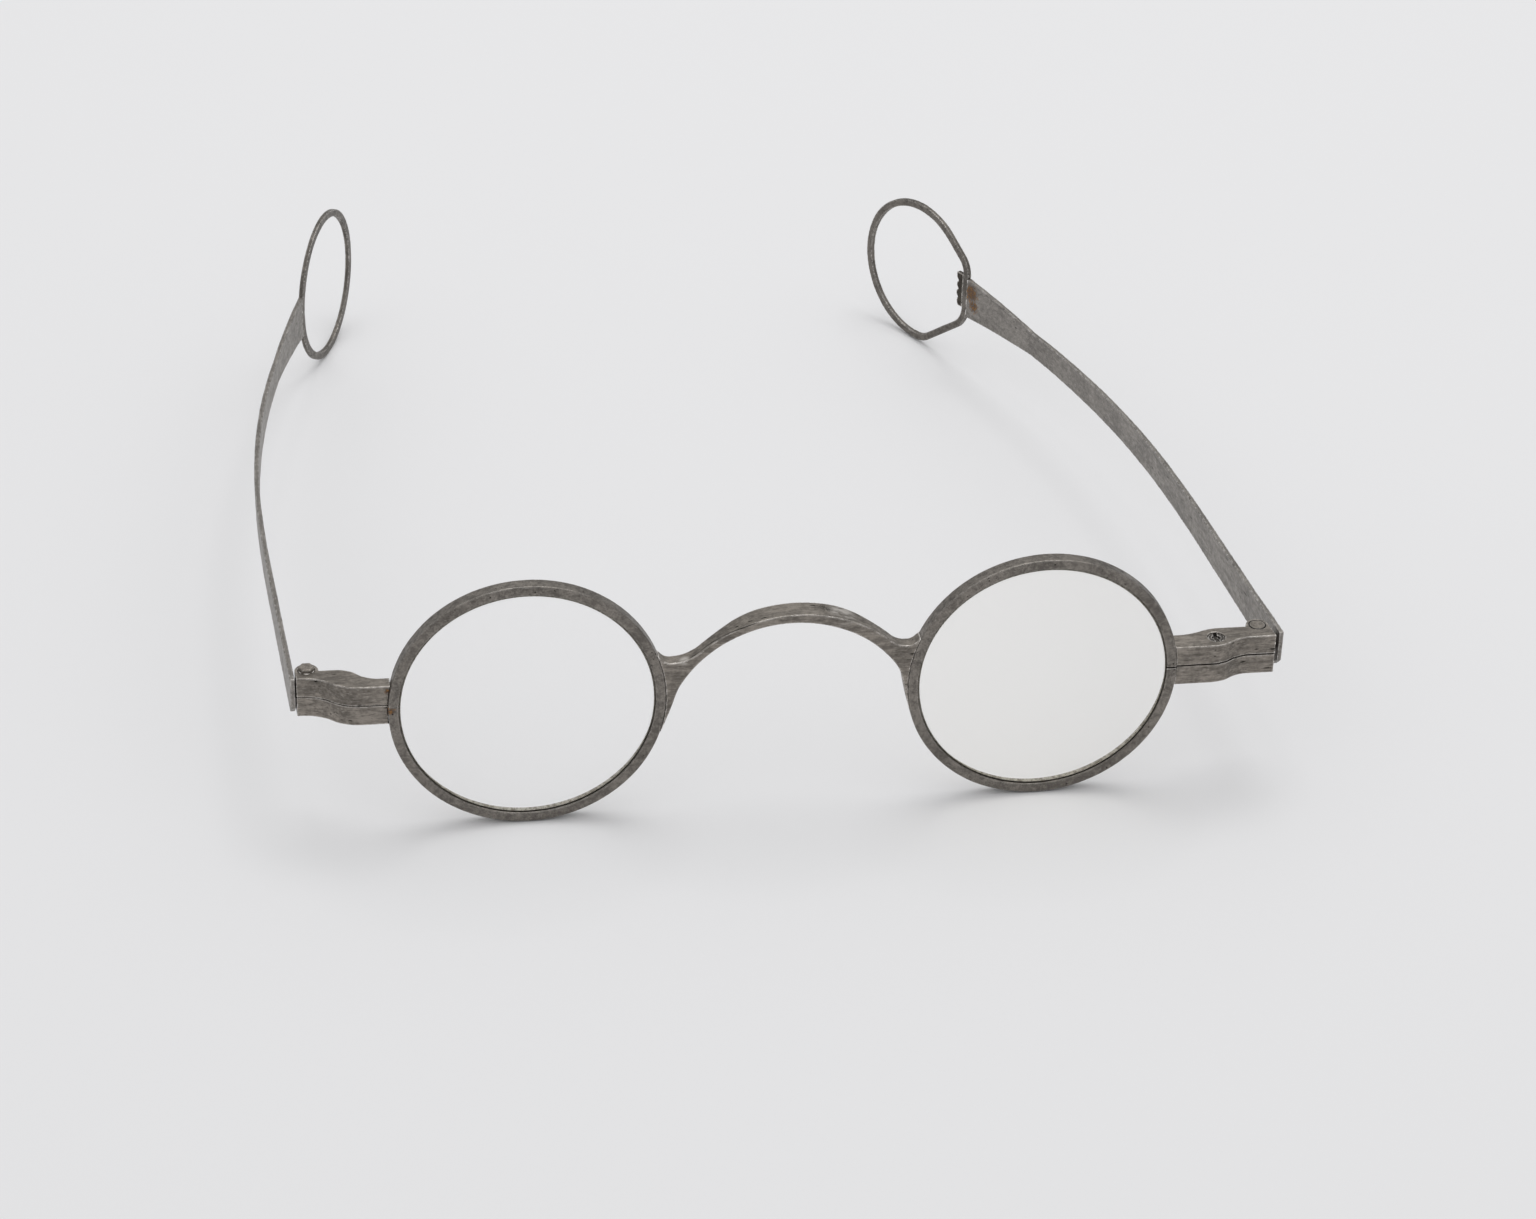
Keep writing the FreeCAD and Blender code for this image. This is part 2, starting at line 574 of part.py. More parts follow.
def make_screw(side):
    """A closing screw with a worn slot, put in from above on the right and from below on the left."""
    word = SIDES[side]
    screw = new_body(f"closing_screw_{word}")
    up = side == RIGHT
    screw_x, screw_y = across(side, f"rim_edge + {word}_screw_reach"), f"{word}_screw_y"
    face = f"{word}_block_mid + {side} * (block_height / 2 - screw_head_sunk)"
    collar = f"{face} - {side} * screw_head_height"
    head = new_sketch(screw, "head_line", "XY", collar)
    draw_circle(head, screw_x, screw_y, "screw_head_radius")
    pad(screw, "head", head, "screw_head_height", reverse=not up)
    shank = new_sketch(screw, "shank_line", "XY", collar)
    draw_circle(shank, screw_x, screw_y, "screw_radius")
    length = "block_height - screw_head_sunk - screw_head_height - screw_tip_short"
    pad(screw, "shank", shank, length, reverse=up)
    slot = new_sketch(screw, "slot_line", "XY", face)
    draw_box(
        slot,
        f"{screw_x} - screw_slot_width / 2", f"{screw_y} - 2 * screw_head_radius",
        f"{screw_x} + screw_slot_width / 2", f"{screw_y} + 2 * screw_head_radius",
    )
    pocket(screw, "slot", slot, "screw_slot_depth", reverse=not up)
    pit = new_sketch(screw, "pit_line", "XY", face)
    draw_circle(pit, screw_x, screw_y, "screw_pit_radius")
    pocket(screw, "pit", pit, "screw_slot_depth", reverse=not up)
    return screw


# Arms, each drawn about its hinge pin at the blocks' mid height, straight back along y
FIRST = "arm_first_bend"
BOTH = "(arm_first_bend + arm_last_bend)"
ARM_MIDDLE = "({word}_arm_offset + arm_thickness / 2)"
FIRST_IN = f"arm_first_radius * (1 - cos({FIRST}))"
FIRST_BACK = f"arm_straight + arm_first_radius * sin({FIRST})"
ARM_END_IN = f"({FIRST_IN} + arm_last_radius * (cos({FIRST}) - cos({BOTH})))"
ARM_END_BACK = f"({FIRST_BACK} + arm_last_radius * (sin({BOTH}) - sin({FIRST})))"


def arm_point(side, bend, offset):
    """A point of the strip at the end of a bend, offset outward from the strip's middle."""
    middle = ARM_MIDDLE.format(word=SIDES[side])
    if bend == "first":
        inward, back, angle = FIRST_IN, FIRST_BACK, FIRST
    else:
        inward, back, angle = ARM_END_IN, ARM_END_BACK, BOTH
    return (
        across(side, f"{middle} - {inward} + ({offset}) * cos({angle})"),
        f"{back} + ({offset}) * sin({angle})",
    )


def make_temple(side):
    """A springy strip with an eye at the hinge, bowed inward and spread where it joins its ring."""
    word = SIDES[side]
    temple = new_body(f"temple_{word}")
    half = "arm_thickness / 2"
    inner_face = f"{word}_arm_offset"
    outer_face = f"({word}_arm_offset + arm_thickness)"
    plan = new_sketch(temple, "plan", "XY")
    draw_outline(plan, [
        (across(side, inner_face), f"-{word}_head_reach"),
        (across(side, outer_face), f"-{word}_head_reach"),
        (across(side, outer_face), "arm_straight"),
        (*arm_point(side, "first", half), f"arm_first_radius + {half}", side),
        (*arm_point(side, "last", half), f"arm_last_radius + {half}", side),
        arm_point(side, "last", f"-{half}"),
        (*arm_point(side, "first", f"-{half}"), f"arm_last_radius - {half}", -side),
        (across(side, inner_face), "arm_straight", f"arm_first_radius - {half}", -side),
    ])
    tallest = f"(max(arm_head_height; arm_end_height) + 2 * {word}_arm_rise)"
    pad(temple, "strip", plan, tallest, midplane=True)

    profile = new_sketch(temple, "side_view", "YZ")
    front, beyond = f"-{word}_head_reach", f"{ARM_END_BACK} + {CUT_MARGIN}"
    for up in (1, -1):
        level = f"{up} * ({tallest} / 2 + {CUT_MARGIN})"
        head = f"{up} * arm_head_height / 2"
        corner = "arm_corner" if up < 0 else "0"
        outline = [(f"{front} - {CUT_MARGIN}", level), (f"{front} - {CUT_MARGIN}", f"{head} + {corner}")]
        if up < 0:
            outline.append((front, f"{head} + {corner}"))
            outline.append((f"{front} + {corner}", head))
        draw_outline(profile, [
            *outline,
            ("arm_head_length", head),
            ("arm_shoulder", f"{up} * arm_height / 2"),
            ("arm_waist", f"{word}_arm_rise * arm_waist / {ARM_END_BACK} + {up} * arm_waist_height / 2"),
            (ARM_END_BACK, f"{word}_arm_rise + {up} * arm_end_height / 2"),
            (beyond, f"{word}_arm_rise + {up} * arm_end_height / 2"),
            (beyond, level),
        ])
    pocket(temple, "taper", profile)

    eye = new_sketch(temple, "eye_line", "XY")
    draw_circle(eye, "0", "0", "tongue_radius")
    neck = new_sketch(temple, "neck_line", "XY")
    draw_box(neck, "0", "-tongue_neck", across(side, f"{inner_face} + {half}"), "tongue_neck")
    pad(temple, "neck", neck, "tongue_thickness", midplane=True)
    pad(temple, "eye", eye, "tongue_thickness", midplane=True)
    bore = new_sketch(temple, "bore_line", "XY")
    draw_circle(bore, "0", "0", "pin_radius + hinge_clearance")
    pocket(temple, "bore", bore)

    seat = new_sketch(temple, "ring_seat_line", "XY", f"{word}_arm_rise")
    wire_x, wire_y = arm_point(side, "last", "0")
    heading = f"({BOTH} + {word}_ring_twist)"
    draw_flat(seat, side, wire_x, wire_y, heading)
    if side == RIGHT:
        pocket(temple, "ring_seat", seat)
        return temple
    hub_x = f"{wire_x} - {side} * ring_radius * sin({heading})"
    hub_y = f"{wire_y} + ring_radius * cos({heading})"
    hub = FreeCAD.Vector(value(hub_x), value(hub_y), 0)
    along = FreeCAD.Vector(value(f"cos({heading})"), side * value(f"sin({heading})"), 0)
    axis = seat.addGeometry(Part.LineSegment(hub, hub + along), True)
    place_point(seat, axis, 1, hub_x, hub_y)
    place_point(seat, axis, 2, f"{hub_x} + cos({heading})", f"{hub_y} + {side} * sin({heading})")
    turn_about(temple, "ring_seat", seat, "Axis0", "Groove")
    return temple


# Rings, each of flat wire, standing in its own y and z
def draw_flat(sketch, side, x, y, heading="0"):
    """The wire's section about a point: flat sides along the ring's radius, which has that heading."""
    half_width, half_thickness = "ring_wire_width / 2", "ring_wire_thickness / 2"
    corners = []
    for out, back in ((1, -1), (1, 1), (-1, 1), (-1, -1)):
        aside, along = f"{out} * {half_thickness}", f"{back} * {half_width}"
        corners.append((
            f"{x} + {side} * ({aside} * cos({heading}) - {along} * sin({heading}))",
            f"{y} + {aside} * sin({heading}) + {along} * cos({heading})",
        ))
    draw_outline(sketch, corners)


def make_round_ring(side):
    """A closed ring."""
    ring = new_body(f"temple_ring_{SIDES[side]}")
    wire = new_sketch(ring, "wire_line", "XY")
    draw_flat(wire, side, "0", "ring_radius")
    turn_about(ring, "wire", wire, "H_Axis")
    return ring


def make_bent_ring(side):
    """A ring whose wire was pulled straight at its joint and dented below it."""
    ring = new_body(f"temple_ring_{SIDES[side]}")
    path = new_sketch(ring, "path", "YZ")
    bend = "ring_dent_radius"
    slope_x, slope_z = "sin(ring_dent_angle)", "cos(ring_dent_angle)"
    corner_run = "ring_corner_radius * tan((180 - ring_corner_angle) / 2)"
    aside = f"sqrt((ring_radius - {bend}) ^ 2 - (ring_dent_reach - {bend}) ^ 2)"
    share = f"ring_radius / (ring_radius - {bend})"
    joint_z = f"(({slope_x} * (ring_radius - {bend}) - (ring_dent_reach - {bend})) / {slope_z})"
    draw_outline(path, [
        ("-ring_radius", "0"),
        ("-ring_radius", "ring_corner_start"),
        (
            f"-ring_radius + {corner_run} * sin(ring_corner_angle)",
            f"ring_corner_start + {corner_run} * (1 - cos(ring_corner_angle))",
            "ring_corner_radius", -1,
        ),
        ("ring_radius * cos(ring_corner_angle)", "ring_radius * sin(ring_corner_angle)"),
        ("ring_radius", "0", "ring_radius", -1),
        (
            f"{share} * (-(ring_dent_reach - {bend}) * {slope_x} + {aside} * {slope_z})",
            f"{share} * (-(ring_dent_reach - {bend}) * {slope_z} - {aside} * {slope_x})",
            "ring_radius", -1,
        ),
        (
            f"-ring_dent_reach * {slope_x} + {aside} * {slope_z}",
            f"-ring_dent_reach * {slope_z} - {aside} * {slope_x}",
            bend, -1,
        ),
        (f"-(ring_radius - {bend}) - {bend} * {slope_x}", f"{joint_z} - {bend} * {slope_z}"),
        ("-ring_radius", joint_z, bend, -1),
    ])
    wire = new_sketch(ring, "wire_line", "XY")
    draw_flat(wire, side, "0", "-ring_radius")
    bent = ring.newObject("PartDesign::AdditivePipe", f"{ring.Name}_wire")
    bent.Profile = wire
    bent.Spine = path
    path.Visibility = False
    finish_feature(ring, bent, wire, True)
    return ring


def make_patch():
    """A small plate brazed inside the right ring over its joint, its free edge broken to teeth."""
    patch = new_body("repair_patch_right")
    plate = new_sketch(patch, "plate_line", "YZ")
    outer = "-(ring_radius - ring_wire_width / 2)"
    inner = "-(ring_radius - ring_wire_width / 2 - patch_width)"
    top = "ring_corner_start"
    steps = [(outer, f"{top} - patch_height"), (f"{inner} - patch_tooth_depth", f"{top} - patch_height")]
    for tooth in range(PATCH_TEETH):
        foot = f"{top} - patch_height * {1 - tooth / PATCH_TEETH}"
        tip = f"{inner} - patch_tooth_depth * {PATCH_TOOTH_LOSS[tooth]}"
        steps.append((tip, f"{foot} + patch_height * {PATCH_TOOTH_RISE}"))
        steps.append((tip, f"{foot} + patch_height * {2 * PATCH_TOOTH_RISE}"))
        steps.append((f"{inner} - patch_tooth_depth", f"{foot} + patch_height / {PATCH_TEETH}"))
    steps[-1] = (tip, top)
    steps.append((outer, top))
    draw_outline(plate, steps)
    pad(patch, "plate", plate, "patch_thickness", midplane=True)
    return patch


# Placing
def turned(vector, angle, base=FreeCAD.Vector()):
    return FreeCAD.Placement(base, FreeCAD.Rotation(vector, angle))


def shifted(x, y=0.0, z=0.0):
    return FreeCAD.Placement(FreeCAD.Vector(x, y, z), FreeCAD.Rotation())


UP = FreeCAD.Vector(0, 0, 1)
ACROSS = FreeCAD.Vector(1, 0, 0)


def arm_placement(side):
    """An arm on its pin, swung to its rest angle."""
    word = SIDES[side]
    pin = FreeCAD.Vector(side * value(f"{word}_pin_x"), value(f"{word}_pin_y"), value(f"{word}_block_mid"))
    return turned(UP, side * value(f"{word}_arm_angle"), pin)


def ring_placement(side):
    """A ring on the end of its arm, turned inward with the arm's end and its own twist."""
    word = SIDES[side]
    wire_x, wire_y = arm_point(side, "last", "0")
    joint = FreeCAD.Vector(value(wire_x), value(wire_y), 0)
    heading = side * value(f"{BOTH} + {word}_ring_twist")
    middle = shifted(0, value("ring_radius"), value(f"{word}_arm_rise"))
    return arm_placement(side) * turned(UP, heading, joint) * middle


def lean_back():
    """The turn about x that stands the rims' back edges and the farther ring on one level."""
    farther = max((ring_placement(side).Base for side in SIDES), key=lambda middle: middle.y)
    run = farther.y - value("rim_depth")
    ring_bottom = farther.z - value("ring_radius + ring_wire_width / 2")
    return turned(ACROSS, -math.degrees(math.atan2(ring_bottom + value("rim_outer_radius"), run)))


identity = FreeCAD.Placement()
placed = [(make_bridge(), identity)]
for side in SIDES:
    lens_centre = shifted(side * value("lens_spacing / 2"))
    placed.append((make_rim(side), lens_centre))
    placed.append((make_lens(side), lens_centre))
    placed.append((make_block_half(side, True), identity))
    placed.append((make_block_half(side, False), identity))
    placed.append((make_pin(side), identity))
    placed.append((make_screw(side), identity))
    placed.append((make_temple(side), arm_placement(side)))
    make_ring = make_bent_ring if side == RIGHT else make_round_ring
    placed.append((make_ring(side), ring_placement(side)))
placed.append((make_patch(), ring_placement(RIGHT)))

lean = lean_back()
for body, place in placed:
    body.Placement = lean * place
doc.recompute()
box = FreeCAD.BoundBox()
for body, _ in placed:
    box.add(body.Shape.optimalBoundingBox(False, False))
stand = shifted(-box.Center.x, -box.Center.y, -box.ZMin)
for body, place in placed:
    body.Placement = stand * lean * place
doc.recompute()

for item in doc.Objects:
    if "Invalid" in item.State or "Error" in item.State:
        raise RuntimeError(f"{item.Name} failed: {item.State}")
for body, _ in placed:
    if body.Shape.isNull() or not body.Shape.isValid() or len(body.Shape.Solids) != 1:
        raise RuntimeError(f"{body.Label} has no good solid")
for body, _ in placed:
    body.Shape.exportStep(f"parts/{body.Label}.step")

print(f"overall {box.XLength:.2f} x {box.YLength:.2f} x {box.ZLength:.2f} mm, {len(placed)} pieces")
print(f"leaned back {math.degrees(lean.Rotation.Angle):.3f} degrees")
print("front's middle at", (stand * lean).Base)
for side, word in SIDES.items():
    pin = stand * lean * arm_placement(side)
    print(f"{word} pin at", pin.Base, "axis", (stand * lean).Rotation.multVec(UP))
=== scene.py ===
"""Looks for a pair of old forged-steel temple spectacles standing on a pale floor.

Everything is in metres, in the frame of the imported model: x from the left rim to the right rim
as seen from the front, y towards the ears, z up, with the floor at zero. Only the marks on the
steel are placed in millimetres.
"""
import math

import bpy
from mathutils import Matrix, Vector


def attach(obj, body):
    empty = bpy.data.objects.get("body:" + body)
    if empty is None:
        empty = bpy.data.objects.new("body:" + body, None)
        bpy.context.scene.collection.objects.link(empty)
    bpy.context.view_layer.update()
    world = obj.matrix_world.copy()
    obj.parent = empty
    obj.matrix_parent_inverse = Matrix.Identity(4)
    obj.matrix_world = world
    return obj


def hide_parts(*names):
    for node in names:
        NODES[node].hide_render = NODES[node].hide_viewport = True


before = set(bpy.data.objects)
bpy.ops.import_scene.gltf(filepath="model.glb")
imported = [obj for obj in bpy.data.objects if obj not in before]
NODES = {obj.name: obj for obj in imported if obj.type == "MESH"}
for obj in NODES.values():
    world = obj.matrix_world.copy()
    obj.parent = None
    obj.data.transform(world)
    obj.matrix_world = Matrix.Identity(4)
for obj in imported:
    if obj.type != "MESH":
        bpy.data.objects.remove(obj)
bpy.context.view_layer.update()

MM = 0.001

# The camera that took the photograph
IMAGE_WIDTH = 1536
SENSOR_WIDTH = 36.0
FOCAL_PIXELS = 3995.0
CAMERA_PLACE = Vector((-65.018, -438.570, 296.880)) * MM
CAMERA_AZIMUTH = math.radians(-9.336)
CAMERA_ELEVATION = math.radians(34.921)
CAMERA_ROLL = math.radians(2.44)
CAMERA_REACH = 20.0

# The floor and the light
FLOOR_REACH = 3.0
FLOOR_COLOUR = (0.79, 0.79, 0.8, 1.0)
FLOOR_ROUGHNESS = 0.9
FLOOR_SHEEN = 0.1
SKY_HEIGHTS = (0.0, 0.9)
SKY_STRENGTHS = (0.4, 0.9)
LAMP_PLACE = Vector((0.1, 0.25, 0.9))
LAMP_SIZE = 0.6
LAMP_POWER = 2.2

# The spectacles' front: where its middle lies, how far it leans back, and its lenses
FRONT_MIDDLE = Vector((0.0817, -59.5951, 16.5511)) * MM
FRONT_LEAN = math.radians(-3.5255)
LENS_CENTRE = 31.0 * MM
RIM_MIDDLE = 0.875 * MM
LENS_BEVEL_START = 15.01 * MM
LENS_RADIUS = 15.66 * MM
LENS_THICKNESS = 1.7 * MM
LENS_EDGE = 1.3 * MM
LENS_RINGS = 24
LENS_STEPS = 240
ROUNDING = 1.001


# Shader nodes
class Tree:
    """A node tree that is written as calls: a socket given as an input is linked, a value is set."""

    def __init__(self, nodes_of):
        nodes_of.use_nodes = True
        self.tree = nodes_of.node_tree
        self.tree.nodes.clear()

    def add(self, kind, inputs=None, **settings):
        node = self.tree.nodes.new(kind)
        for name, setting in settings.items():
            setattr(node, name, setting)
        for name, given in (inputs or {}).items():
            if isinstance(given, bpy.types.NodeSocket):
                self.tree.links.new(given, node.inputs[name])
            else:
                node.inputs[name].default_value = given
        return node

    def math(self, operation, first, second=0.0, clamp=False):
        inputs = {0: first, 1: second}
        return self.add("ShaderNodeMath", inputs, operation=operation, use_clamp=clamp).outputs[0]

    def total(self, *parts):
        """The sum of some sources, each times its own share."""
        total = None
        for source, share in parts:
            part = self.math("MULTIPLY", source, share)
            total = part if total is None else self.math("ADD", total, part)
        return total

    def highest(self, levels):
        """The highest of some levels, or nothing where there are none."""
        highest = None
        for level in levels:
            highest = level if highest is None else self.math("MAXIMUM", highest, level)
        return highest

    def vector(self, operation, first, second):
        node = self.add("ShaderNodeVectorMath", {0: first, 1: second}, operation=operation)
        gives_number = operation in ("DISTANCE", "DOT_PRODUCT")
        return node.outputs["Value" if gives_number else "Vector"]

    def scaled(self, first, factor):
        node = self.add("ShaderNodeVectorMath", {0: first, "Scale": factor}, operation="SCALE")
        return node.outputs["Vector"]

    def mix(self, share, first, second):
        inputs = {0: share, 6: first, 7: second}
        return self.add("ShaderNodeMix", inputs, data_type="RGBA").outputs[2]

    def band(self, source, low, high, to_low=0.0, to_high=1.0):
        """Eases from one level to another while the source goes from low to high."""
        node = self.add("ShaderNodeMapRange", {
            "Value": source, "From Min": low, "From Max": high, "To Min": to_low, "To Max": to_high,
        }, interpolation_type="SMOOTHSTEP")
        return node.outputs["Result"]

    def noise(self, place, scale, detail, roughness):
        node = self.add("ShaderNodeTexNoise", {
            "Vector": place, "Scale": scale, "Detail": detail, "Roughness": roughness,
        })
        return node.outputs["Fac"]

    def place(self):
        """The place on the piece, in millimetres."""
        return self.scaled(self.add("ShaderNodeTexCoord").outputs["Object"], 1 / MM)

    def finish(self, shader):
        self.add("ShaderNodeOutputMaterial", {"Surface": shader})


# Colours
RED_IN_WARMTH = 1.6
BLUE_IN_WARMTH = 1.8
RUST = (0.33, 0.17, 0.055, 1.0)
DARK_RUST = (0.085, 0.042, 0.02, 1.0)
# Dark grime for pits, tarnish and seams, also used as painted shade in creases and corners
GRIME_AND_SHADE = (0.022, 0.02, 0.016, 1.0)
WHITE = (1.0, 1.0, 1.0, 1.0)
LENS_TINT = (0.995, 0.995, 0.995, 1.0)
WARM_LENS_TINT = (0.99, 0.985, 0.97, 1.0)
GROUND_GLASS = (0.5, 0.48, 0.42, 1.0)
DUSTY_GLASS = (0.2, 0.18, 0.14, 1.0)


def grey(level, warmth):
    """A linear colour of that level, warmer by a share."""
    return (level * (1 + RED_IN_WARMTH * warmth), level, level * (1 - BLUE_IN_WARMTH * warmth), 1.0)


# Noises: scale in turns a millimetre, detail, roughness
CLOUDS = (0.22, 3.0, 0.55)
MOTTLE = (1.7, 5.0, 0.7)
SPECKLE = (7.0, 3.0, 0.75)
FILE_MARKS = (5.5, 4.0, 0.72)
STREAKS = (1.6, 3.0, 0.6)
PIT_CLUSTERS = (0.55, 3.0, 0.6)
RUST_CRUST = (2.6, 4.0, 0.7)
LENS_DUST = (3.0, 4.0, 0.75)
PIT_SCALE = 1.5

# How much of the tone's change each noise makes
CLOUD_TONE, MOTTLE_TONE, STREAK_TONE = 0.3, 0.3, 0.4

# Bands: the levels that one look gives way to another between, and the shares it has there
TONE_BAND = (0.4, 0.6)
DARK_MARK_BAND = (0.5, 0.3, 0.0, 0.7)
LIGHT_MARK_BAND = (0.55, 0.72, 0.0, 0.6)
SPECK_BAND = (0.58, 0.72, 0.0, 0.5)
PIT_BAND = (0.2, 0.1)
PIT_CLUSTER_BAND = (0.5, 0.6)
EDGE_BAND = (0.996, 0.95)
EDGE_MOTTLE_BAND = (0.35, 0.6, 0.45, 1.0)
CORNER_BAND = (0.62, 0.2)
RUBBED_BAND = (0.35, 0.6)
TARNISH_BAND = (0.4, 0.58)
RUST_BAND = (0.35, 1.15)
RUST_SHADE_BAND = (0.48, 0.66)
ROUGHNESS_BAND = (0.3, 0.7, 0.5, 0.36)
LENS_DUST_BAND = (0.42, 0.6)

# How far a worn edge, also a painted highlight, and a corner darkened with grime and painted shade
# reach, and how many rays feel for them
EDGE_REACH = 0.26 * MM
EDGE_RAYS = 8
CORNER_REACH = 0.45 * MM
CORNER_RAYS = 6

# Marks, as shares of the steel's dark or light tone
DARK_MARK = 0.5
SPECK = 0.45
LIGHT_MARK = 1.6
LIGHT_MARK_WARMTH = 0.7

# Bare metal: its level, and the share of the patina's warmth that it keeps; on worn edges it is also
# a painted highlight
WORN_EDGE_AND_HIGHLIGHT, WORN_EDGE_AND_HIGHLIGHT_WARMTH = 0.8, 0.4
RUBBED, RUBBED_WARMTH = 0.5, 0.5
SCRATCH, SCRATCH_WARMTH = 0.62, 0.5

# How strongly painted shade fills a crease and grime a seam, and grime with painted shade a corner,
# and how much of a mark's radius has its full strength
CREASE_SHADE_AND_SEAM_GRIME = 0.85
CORNER_GRIME_AND_SHADE = 0.8
SPOT_CORE = 0.2
LINE_CORE = 0.35
SEAM_CORE = 0.4

# How metallic and rough the steel is with and without rust, how far rust frays, and the relief
METAL = 0.9
RUST_SPREAD = 2.2
METAL_UNDER_RUST = 0.8
RUST_ROUGHNESS = 0.4
PIT_ROUGHNESS = 0.3
RELIEF_DEPTH = 0.02 * MM
RELIEF_STRENGTH = 0.6
SPECKLE_RELIEF, MARK_RELIEF, PIT_RELIEF = 0.4, 0.8, -1.6
GLASS_IOR = 1.5
GROUND_ROUGHNESS = 0.55


def near(tree, place, spots):
    """How close the place is to the nearest of some spots (x, y, z, radius)."""
    levels = []
    for x, y, z, radius in spots:
        away = tree.vector("DISTANCE", place, (x, y, z))
        levels.append(tree.band(away, radius, radius * SPOT_CORE))
    return tree.highest(levels)


def near_line(tree, place, points, half_width):
    """How close the place is to a line through some points."""
    levels = []
    for start, end in zip(points, points[1:]):
        run = Vector(end) - Vector(start)
        step = tree.vector("SUBTRACT", place, start)
        along = tree.vector("DOT_PRODUCT", step, tuple(run / run.length_squared))
        along = tree.math("MAXIMUM", tree.math("MINIMUM", along, 1.0), 0.0)
        away = tree.vector("DISTANCE", step, tree.scaled(tuple(run), along))
        levels.append(tree.band(away, half_width, half_width * LINE_CORE))
    return tree.highest(levels)


def near_circle(tree, place, x, y, z, radius, half_width):
    """How close the place is to a circle, seen as a sphere's skin."""
    away = tree.vector("DISTANCE", place, (x, y, z))
    off_line = tree.math("ABSOLUTE", tree.math("SUBTRACT", away, radius))
    return tree.band(off_line, half_width, half_width * SEAM_CORE, 0.0, CREASE_SHADE_AND_SEAM_GRIME)


